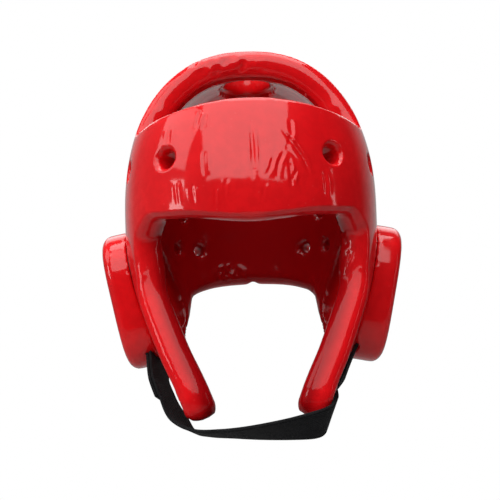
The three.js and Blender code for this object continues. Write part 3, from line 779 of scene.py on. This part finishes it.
def add_thickness(piece, thickness):
    wall = piece.modifiers.new("thickness", "SOLIDIFY")
    wall.thickness = thickness
    wall.offset = 0
    return wall


RIBBON_STEPS = {"strap": 260, "tab": 60, "across": 8}
SOFT_EDGE = {"width": 0.45 * mm, "segments": 2, "angle": 50}


def make_webbing(name, first, last, steps, lift_at):
    """A stretch of webbing with soft edges."""
    piece = as_object(name, ribbon(first, last, steps, RIBBON_STEPS["across"], lift_at))
    add_thickness(piece, STRAP_THICKNESS).use_even_offset = True
    edges = piece.modifiers.new("soft_edges", "BEVEL")
    edges.width = SOFT_EDGE["width"]
    edges.segments = SOFT_EDGE["segments"]
    edges.limit_method = "ANGLE"
    edges.angle_limit = math.radians(SOFT_EDGE["angle"])
    settle(piece)
    shade_smooth(piece)
    return piece


STITCH = {"pitch": 3 * mm, "length": 2.3 * mm, "radius": 0.38 * mm}
STITCHED = {"near": 0.1, "far": 0.86, "offset": 9.5 * mm}  # the box of stitches on the doubled end


def stitch_rows():
    """Shares of the tab's length and offsets across it of the stitches, and 1 where they run across."""
    near, far, side = STITCHED["near"], STITCHED["far"], STITCHED["offset"]
    length = (TAB["to"] - TAB["from"]) * STRAP_LENGTH
    along_it = np.arange(near, far, STITCH["pitch"] / length)
    across_it = np.arange(-side, side, STITCH["pitch"]) + STITCH["pitch"] / 2
    rows = [(t, o, 0) for o in (-side, side) for t in along_it]
    return np.array(rows + [(t, o, 1) for t in (near, far) for o in across_it])


def make_stitches():
    share, offset, turned_across = stitch_rows().T
    p, across, face = strap_frames(lerp(TAB["from"], TAB["to"], share))
    p = p + across * offset[:, None] + face * (tab_lift(share) + STRAP_THICKNESS / 2)[:, None]
    whole = bmesh.new()
    for k in range(len(share)):
        out = Vector(face[k])
        way = Vector(across[k]) if turned_across[k] else Vector(across[k]).cross(out)
        frame_of = Matrix((way, out.cross(way), out)).transposed().to_4x4()
        size = Matrix.Diagonal((STITCH["length"] / 2, STITCH["radius"], STITCH["radius"], 1))
        place = Matrix.Translation(Vector(p[k])) @ frame_of @ size
        bmesh.ops.create_uvsphere(whole, u_segments=10, v_segments=6, radius=1, matrix=place)
    stitches = as_object("tab_stitches", whole)
    shade_smooth(stitches)
    return stitches


# Ear cups.
def form_cutter():
    """The form as a closed solid, grown by the clearance."""
    top, bottom = WIDEST_Z + 30 * mm, WIDEST_Z - JAW_FORM["drop"][-1] * JAW_DROP
    bm = bmesh.new()
    bmesh.ops.create_uvsphere(bm, u_segments=96, v_segments=48, radius=1)
    co = np.array([v.co for v in bm.verts])
    level = lerp(bottom, top, (1 - np.degrees(np.arccos(np.clip(co[:, 2], -1, 1))) / 180))
    p = on_turn(np.degrees(np.arctan2(co[:, 0], -co[:, 1])), level)
    p += normals(p) * CLEARANCE
    pole = np.abs(co[:, 2]) > 0.9999
    p[pole, :2] = 0
    p[:, 2] = level
    for vert, q in zip(bm.verts, p):
        vert.co = q
    bmesh.ops.recalc_face_normals(bm, faces=bm.faces)
    return bm


def webbing_room(first, last, steps, lift_at):
    """The room that a stretch of webbing needs in a cup's back."""
    piece = as_object("room", ribbon(first, last, steps, 2, lift_at, CLEARANCE))
    add_thickness(piece, STRAP_THICKNESS + 2 * CLEARANCE)
    settle(piece)
    bm = bmesh.new()
    bm.from_mesh(piece.data)
    bmesh.ops.recalc_face_normals(bm, faces=bm.faces)
    mesh = piece.data
    bpy.data.objects.remove(piece)
    bpy.data.meshes.remove(mesh)
    return bm


def cup_outline(angle, out):
    """The cup's rounded square, offset outwards."""
    c, w = np.cos(angle), np.sin(angle)
    power = 2 / CUP["power"]
    x = np.sign(c) * (CUP["half_length"] - CUP["round"]) * np.abs(c) ** power
    y = np.sign(w) * (CUP["half_height"] - CUP["round"]) * np.abs(w) ** power
    gx = np.sign(x) * (np.abs(x) / CUP["half_length"]) ** (CUP["power"] - 1) / CUP["half_length"]
    gy = np.sign(y) * (np.abs(y) / CUP["half_height"]) ** (CUP["power"] - 1) / CUP["half_height"]
    size = np.hypot(gx, gy)
    return x + out * gx / size, y + out * gy / size


CUP_SEGMENTS = 96
DISH_STEPS = 72
BORE_STEPS = 32
CUP_SKIN = {"voxel": 1.3 * mm, "quick_voxel": 2 * mm, "rounds": 6}


def cup_body():
    """The cup before cutting: rings from its back's middle, round both edges, to its face's middle."""
    quarter = np.linspace(0, math.pi / 2, 7)
    r, deep = CUP["round"], CUP["thickness"]
    rings = [(r * math.sin(a), r - deep - r * math.cos(a), 1) for a in quarter]
    rings += [(r * math.cos(a), -r + r * math.sin(a), 1) for a in quarter]
    rings += [(0, 0, shrink) for shrink in (0.75, 0.5, 0.25)]
    angle = np.linspace(0, 2 * math.pi, CUP_SEGMENTS + 1) + math.pi / CUP_SEGMENTS
    rows = []
    for out, height, shrink in rings:
        x, y = cup_outline(angle, out)
        rows.append(np.stack((x * shrink, y * shrink, np.full_like(x, height)), 1))
    bm = bmesh.new()
    add_panel(bm, np.array(rows))
    bmesh.ops.remove_doubles(bm, verts=bm.verts, dist=0.01 * mm)
    bmesh.ops.holes_fill(bm, edges=[e for e in bm.edges if e.is_boundary], sides=0)
    bmesh.ops.recalc_face_normals(bm, faces=bm.faces)
    return bm


def make_cup(name, hand):
    lean = math.radians(CUP["lean"])
    outward = Vector((hand * math.cos(lean), 0, -math.sin(lean)))
    fore = Vector((0, hand, 0))
    up = outward.cross(fore)
    centre = Vector((hand * CUP["face_x"], CUP["y"], CUP["z"]))
    place = Matrix.Translation(centre) @ Matrix((fore, up, outward)).transposed().to_4x4()
    body = cup_body()
    bmesh.ops.transform(body, matrix=place, verts=body.verts)
    cup = as_object(name, body)
    cut(cup, as_object("form", form_cutter()))
    cut(cup, as_object("strap_room", webbing_room(0, 1, 120, flat)))
    if hand < 0:
        cut(cup, as_object("tab_room", webbing_room(TAB["from"], TAB["to"], 30, tab_lift)))
    rim, deep = CUP_DISH["radius"], CUP_DISH["depth"]
    dish = [(0, -deep), (CUP_DISH["floor"], -deep), (rim, 0), (rim, REACH), (0, REACH)]
    cut(cup, as_object("dish", stand(turned(dish, DISH_STEPS), centre, outward)))
    bores = [(Vector(), CUP_HOLE["radius"])]
    for k in range(SMALL_HOLE["count"]):
        a = 2 * math.pi * k / SMALL_HOLE["count"]
        offset = (fore * math.cos(a) + up * math.sin(a)) * SMALL_HOLE["circle"]
        bores.append((offset, SMALL_HOLE["radius"]))
    cutters = []
    through, lip = 2 * CUP["thickness"], CUP_HOLE["lip"]
    for offset, radius in bores:
        face = centre + offset - outward * deep
        profile = [(0, -through), (radius, -through), (radius, -lip), (radius + lip, 0)]
        profile += [(radius + lip, REACH), (0, REACH)]
        cutters.append(stand(turned(profile, BORE_STEPS), face, outward))
    cut(cup, join_all("bores", cutters))
    soften(cup, CUP_SKIN["voxel"], CUP_SKIN["rounds"])
    wrinkle(cup, hand)
    shade_smooth(cup)
    return cup


# Materials.
def node_material(name):
    material = bpy.data.materials.new(name)
    material.use_nodes = True
    nodes = material.node_tree.nodes
    nodes.clear()
    shader = nodes.new("ShaderNodeBsdfPrincipled")
    output = nodes.new("ShaderNodeOutputMaterial")
    material.node_tree.links.new(shader.outputs["BSDF"], output.inputs["Surface"])
    return material, nodes, material.node_tree.links, shader


def add_range(nodes, links, value, low, high, out_low, out_high):
    """A smooth step of a value between two levels."""
    ramp = nodes.new("ShaderNodeMapRange")
    ramp.interpolation_type = "SMOOTHSTEP"
    for socket, number in zip(("From Min", "From Max", "To Min", "To Max"), (low, high, out_low, out_high)):
        ramp.inputs[socket].default_value = number
    links.new(value, ramp.inputs["Value"])
    return ramp.outputs["Result"]


def add_math(nodes, links, operation, *values):
    step = nodes.new("ShaderNodeMath")
    step.operation = operation
    for socket, value in zip(step.inputs, values):
        if isinstance(value, (int, float)):
            socket.default_value = value
        else:
            links.new(value, socket)
    return step.outputs[0]


def node_group(name, inputs, outputs):
    """An empty group with named value, vector and colour sockets."""
    group = bpy.data.node_groups.new(name, "ShaderNodeTree")
    for direction, sockets in (("INPUT", inputs), ("OUTPUT", outputs)):
        for label, kind, value in sockets:
            socket = group.interface.new_socket(name=label, in_out=direction, socket_type="NodeSocket" + kind)
            if value is not None:
                socket.default_value = value
    return group, group.nodes.new("NodeGroupInput"), group.nodes.new("NodeGroupOutput")


def mottle_group():
    """Soft patches from 0 to 1 at a size in metres."""
    group, given, out = node_group(
        "mottle",
        (("Vector", "Vector", None), ("Size", "Float", 0.02), ("Detail", "Float", 3.0)),
        (("Patches", "Float", None),),
    )
    nodes, links = group.nodes, group.links
    scale = add_math(nodes, links, "DIVIDE", 1.0, given.outputs["Size"])
    cloud = nodes.new("ShaderNodeTexNoise")
    links.new(given.outputs["Vector"], cloud.inputs["Vector"])
    links.new(scale, cloud.inputs["Scale"])
    links.new(given.outputs["Detail"], cloud.inputs["Detail"])
    links.new(add_range(nodes, links, cloud.outputs["Fac"], 0.35, 0.65, 0.0, 1.0), out.inputs["Patches"])
    return group


def specks_group():
    """Sparse round specks from 0 to 1, at a size in metres, on a share of the places."""
    group, given, out = node_group(
        "specks",
        (("Vector", "Vector", None), ("Size", "Float", 0.002), ("Share", "Float", 0.1)),
        (("Specks", "Float", None),),
    )
    nodes, links = group.nodes, group.links
    cells = nodes.new("ShaderNodeTexVoronoi")
    links.new(given.outputs["Vector"], cells.inputs["Vector"])
    links.new(add_math(nodes, links, "DIVIDE", 1.0, given.outputs["Size"]), cells.inputs["Scale"])
    chosen = nodes.new("ShaderNodeSeparateColor")
    links.new(cells.outputs["Color"], chosen.inputs["Color"])
    kept = add_math(nodes, links, "LESS_THAN", chosen.outputs["Red"], given.outputs["Share"])
    dot = add_range(nodes, links, cells.outputs["Distance"], 0.18, 0.3, 1.0, 0.0)
    links.new(add_math(nodes, links, "MULTIPLY", kept, dot), out.inputs["Specks"])
    return group


def use_group(nodes, links, group, vector, **values):
    """Places a group, with its own values, and gives its mask."""
    node = nodes.new("ShaderNodeGroup")
    node.node_tree = group
    links.new(vector, node.inputs["Vector"])
    for label, value in values.items():
        node.inputs[label].default_value = value
    return node.outputs[0]


def add_mix(nodes, links, amount, low, high):
    """A colour between two others."""
    mix = nodes.new("ShaderNodeMix")
    mix.data_type = "RGBA"
    links.new(amount, mix.inputs["Factor"])
    for socket, colour in zip((mix.inputs[6], mix.inputs[7]), (low, high)):
        if isinstance(colour, tuple):
            socket.default_value = (*colour, 1)
        else:
            links.new(colour, socket)
    return mix.outputs[2]


def add_layers(nodes, links, tone, layers):
    """A tone with colours laid over it, each by its mask and the most it may cover."""
    for mask, most, colour in layers:
        tone = add_mix(nodes, links, add_math(nodes, links, "MULTIPLY", mask, most), tone, colour)
    return tone


def mask_of(nodes, name):
    mask = nodes.new("ShaderNodeAttribute")
    mask.attribute_name = name
    return mask.outputs["Fac"]


def add_bump(nodes, links, height, distance, strength, below=None):
    bump = nodes.new("ShaderNodeBump")
    bump.inputs["Distance"].default_value = distance
    bump.inputs["Strength"].default_value = strength
    links.new(height, bump.inputs["Height"])
    if below:
        links.new(below, bump.inputs["Normal"])
    return bump.outputs["Normal"]


DIP_RED = {
    "deep": (0.74, 0.0045, 0.008),
    "bright": (0.84, 0.0065, 0.01),
    "mottled": (0.64, 0.0035, 0.006),
    "dusty": (0.8, 0.12, 0.12),
    # painted shade: the darker red laid over the inside of the wall
    "painted_inside_shade": (0.36, 0.001, 0.003),
}


def foam_skin(name, mottle, specks):
    """Glossy vinyl dip: one deep red, a little uneven and darkened inside by painted shade, with a sharp
    clear top and an orange-peel surface.
    """
    material, nodes, links, shader = node_material(name)
    place = nodes.new("ShaderNodeTexCoord").outputs["Object"]
    broad = use_group(nodes, links, mottle, place, Size=0.05, Detail=2.0)
    fine = use_group(nodes, links, mottle, place, Size=0.006, Detail=5.0)
    peel = use_group(nodes, links, mottle, place, Size=0.0022, Detail=2.0)
    swells = use_group(nodes, links, mottle, place, Size=0.012, Detail=1.0)
    dust = use_group(nodes, links, specks, place, Size=0.0026, Share=0.05)
    tone = add_mix(nodes, links, broad, DIP_RED["deep"], DIP_RED["bright"])
    tone = add_layers(nodes, links, tone, (
        (fine, 0.35, DIP_RED["mottled"]),
        (dust, 0.1, DIP_RED["dusty"]),
        # painted shade: the inside mask darkens the wall's inner face
        (mask_of(nodes, "inside"), 1.0, DIP_RED["painted_inside_shade"]),
    ))
    links.new(tone, shader.inputs["Base Color"])
    links.new(add_range(nodes, links, fine, 0.0, 1.0, 0.42, 0.52), shader.inputs["Roughness"])
    gloss = add_range(nodes, links, mask_of(nodes, "handled"), 0.0, 1.0, 1.0, 0.5)
    dusty = add_range(nodes, links, dust, 0.0, 1.0, 1.0, 0.75)
    links.new(add_math(nodes, links, "MULTIPLY", gloss, dusty), shader.inputs["Coat Weight"])
    shader.inputs["Specular IOR Level"].default_value = 0.04
    shader.inputs["Coat Roughness"].default_value = 0.07
    wavy = add_bump(nodes, links, swells, 0.03 * mm, 0.8)
    links.new(add_bump(nodes, links, peel, 0.004 * mm, 0.7, wavy), shader.inputs["Normal"])
    return material


WEAVE = {"along": 1.7 * mm, "across": 0.9 * mm}
SELVEDGE = {"width": 1.6 * mm, "step": 0.3 * mm, "height": 0.35}
YARN_BLACK = {
    "low": (0.0035, 0.0035, 0.004),
    "high": (0.014, 0.014, 0.016),
    "worn": (0.022, 0.022, 0.024),
    "lint": (0.09, 0.09, 0.09),
}
THREAD_BLACK = {"low": (0.008, 0.008, 0.009), "high": (0.03, 0.03, 0.033)}


def weave_height(nodes, links, run, offset):
    """Ribs across the webbing, each warp yarn's crossings half a step along from its neighbour's."""
    yarn = add_math(nodes, links, "DIVIDE", offset, WEAVE["across"])
    row = add_math(nodes, links, "FLOOR", yarn)
    shift = add_math(nodes, links, "MULTIPLY", row, 0.5)
    pick = add_math(nodes, links, "ADD", add_math(nodes, links, "DIVIDE", run, WEAVE["along"]), shift)

    def arches(steps):
        """A row of arches, one to a step."""
        turn = add_math(nodes, links, "MULTIPLY", steps, math.pi)
        return add_math(nodes, links, "ABSOLUTE", add_math(nodes, links, "SINE", turn))

    rounded = add_math(nodes, links, "POWER", arches(yarn), 0.5)
    return add_math(nodes, links, "MULTIPLY", arches(pick), rounded)


def webbing_black(name, mottle, specks):
    """Matt black elastic webbing: a plain weave with firmer, smoother selvedges."""
    material, nodes, links, shader = node_material(name)
    chart = nodes.new("ShaderNodeUVMap")
    chart.uv_map = "webbing"
    split = nodes.new("ShaderNodeSeparateXYZ")
    links.new(chart.outputs["UV"], split.inputs[0])
    run, offset = split.outputs["X"], split.outputs["Y"]
    place = nodes.new("ShaderNodeTexCoord").outputs["Object"]
    weave = weave_height(nodes, links, run, offset)
    edge = add_math(nodes, links, "ABSOLUTE", offset)
    start = STRAP_WIDTH / 2 - SELVEDGE["width"]
    inner = add_range(nodes, links, edge, start, start + SELVEDGE["step"], 1.0, SELVEDGE["height"])
    height = add_math(nodes, links, "MULTIPLY", weave, inner)
    worn = use_group(nodes, links, mottle, place, Size=0.011, Detail=4.0)
    lint = use_group(nodes, links, specks, place, Size=0.0016, Share=0.04)
    tone = add_mix(nodes, links, height, YARN_BLACK["low"], YARN_BLACK["high"])
    layers = ((worn, 0.3, YARN_BLACK["worn"]), (lint, 0.25, YARN_BLACK["lint"]))
    tone = add_layers(nodes, links, tone, layers)
    links.new(tone, shader.inputs["Base Color"])
    links.new(add_range(nodes, links, height, 0.0, 1.0, 0.95, 0.75), shader.inputs["Roughness"])
    shader.inputs["Specular IOR Level"].default_value = 0.2
    links.new(add_bump(nodes, links, height, 0.35 * mm, 0.9), shader.inputs["Normal"])
    return material


def thread_black(name):
    """Twisted polyester thread."""
    material, nodes, links, shader = node_material(name)
    twist = nodes.new("ShaderNodeTexWave")
    twist.bands_direction = "DIAGONAL"
    twist.inputs["Scale"].default_value = 420
    twist.inputs["Distortion"].default_value = 0.6
    links.new(nodes.new("ShaderNodeTexCoord").outputs["Object"], twist.inputs["Vector"])
    tone = add_mix(nodes, links, twist.outputs["Fac"], THREAD_BLACK["low"], THREAD_BLACK["high"])
    links.new(tone, shader.inputs["Base Color"])
    shader.inputs["Roughness"].default_value = 0.55
    links.new(add_bump(nodes, links, twist.outputs["Fac"], 0.1 * mm, 0.8), shader.inputs["Normal"])
    return material


def finish_piece(piece, material, node):
    """Gives a piece its finish and the place of its plain solid."""
    piece.data.materials.clear()
    piece.data.materials.append(material)
    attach(piece, "root")
    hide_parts(node)


# The studio.
def show_apart(nodes, links, lit, seen, surface):
    """Shows the camera one shader, and everything else another."""
    mix = nodes.new("ShaderNodeMixShader")
    links.new(nodes.new("ShaderNodeLightPath").outputs["Is Camera Ray"], mix.inputs["Fac"])
    links.new(lit, mix.inputs[1])
    links.new(seen, mix.inputs[2])
    links.new(mix.outputs[0], surface)


def area_light(name, place, target, size, power):
    data = bpy.data.lights.new(name, "AREA")
    data.shape = "RECTANGLE"
    data.size, data.size_y = size
    data.energy = power
    light = bpy.data.objects.new(name, data)
    light.location = place
    light.rotation_euler = (Vector(target) - Vector(place)).to_track_quat("-Z", "Y").to_euler()
    light.visible_camera = False
    bpy.context.scene.collection.objects.link(light)


def make_world():
    """White to the camera; to the object, bright behind, paler on its right hand and dark on its left."""
    world = bpy.data.worlds.new("studio")
    bpy.context.scene.world = world
    world.use_nodes = True
    nodes, links = world.node_tree.nodes, world.node_tree.links
    nodes.clear()
    place = nodes.new("ShaderNodeTexCoord")
    split = nodes.new("ShaderNodeSeparateXYZ")
    links.new(place.outputs["Generated"], split.inputs[0])
    behind = add_range(nodes, links, split.outputs["Y"], 0.3, 0.9, 0.0, 0.4)
    sideways = add_range(nodes, links, split.outputs["X"], -0.85, -0.2, 0.16, 0.015)
    room = nodes.new("ShaderNodeBackground")
    seen = nodes.new("ShaderNodeBackground")
    links.new(add_math(nodes, links, "MAXIMUM", behind, sideways), room.inputs["Strength"])
    output = nodes.new("ShaderNodeOutputWorld")
    show_apart(nodes, links, room.outputs[0], seen.outputs[0], output.inputs["Surface"])
    for background in (room, seen):
        background.inputs["Color"].default_value = (1, 1, 1, 1)
    seen.inputs["Strength"].default_value = 1.0


FLOOR = {"radius": 2.2, "middle": (0, 0.4, -0.62)}


def make_stage():
    """A pale floor well below the headgear, white to the camera and dimmer to the foam above it."""
    bm = bmesh.new()
    bmesh.ops.create_circle(bm, segments=64, radius=FLOOR["radius"], cap_ends=True)
    bmesh.ops.translate(bm, vec=FLOOR["middle"], verts=bm.verts)
    floor = as_object("floor", bm)
    material, nodes, links, shader = node_material("floor_white")
    shader.inputs["Base Color"].default_value = (0.3, 0.3, 0.3, 1)
    shader.inputs["Roughness"].default_value = 0.9
    seen = nodes.new("ShaderNodeEmission")
    seen.inputs["Color"].default_value = (1, 1, 1, 1)
    surface = nodes["Material Output"].inputs["Surface"]
    show_apart(nodes, links, shader.outputs["BSDF"], seen.outputs["Emission"], surface)
    floor.data.materials.append(material)


MIDDLE = Vector((0, 0, -0.1))


def studio_light(name, azimuth, elevation, distance, size, radiance):
    """An area light that faces the headgear; azimuth is from straight ahead of it towards +X, in degrees."""
    a, e = math.radians(azimuth), math.radians(elevation)
    way = Vector((math.sin(a) * math.cos(e), -math.cos(a) * math.cos(e), math.sin(e)))
    power = radiance * math.pi * size[0] * size[1]
    area_light(name, MIDDLE + way * distance, MIDDLE, size, power)


def make_lights():
    studio_light("key", -4, 41.4, 1.6, (1.5, 1.62), 2.4)
    studio_light("high", -10, 84, 1.5, (1.5, 0.9), 4.2)
    studio_light("over", 190, 66, 1.5, (1.0, 0.5), 1.6)
    studio_light("left_strip", -54, 7, 1.3, (0.34, 0.34), 5.5)
    studio_light("left_wash", -66, 36, 1.5, (1.0, 0.9), 2.0)
    studio_light("right_strip", 66, 0, 1.4, (0.07, 0.8), 3)
    studio_light("behind", 180, 36, 1.6, (1.6, 0.7), 0.3)
    area_light("floor_wash", (0, 1.5, 0.9), (0, 1.5, -0.6), (2.4, 1.8), 20)


make_camera()
make_world()
make_lights()
make_stage()

shell = make_shell()
left_cup = make_cup("cup_skin_left", 1)
right_cup = make_cup("cup_skin_right", -1)
strap = make_webbing("strap_webbing", 0, 1, RIBBON_STEPS["strap"], flat)
tab = make_webbing("tab_webbing", TAB["from"], TAB["to"], RIBBON_STEPS["tab"], tab_lift)

mottle, specks = mottle_group(), specks_group()
skin = foam_skin("dipped_foam_skin", mottle, specks)
webbing = webbing_black("black_webbing", mottle, specks)
finish_piece(shell, skin, "shell")
finish_piece(left_cup, skin, "ear_cup_left")
finish_piece(right_cup, skin, "ear_cup_right")
finish_piece(strap, webbing, "chin_strap")
finish_piece(tab, webbing, "strap_tab")
stitches = make_stitches()
stitches.data.materials.append(thread_black("black_thread"))
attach(stitches, "root")

scene = bpy.context.scene
scene.view_settings.view_transform = "Standard"
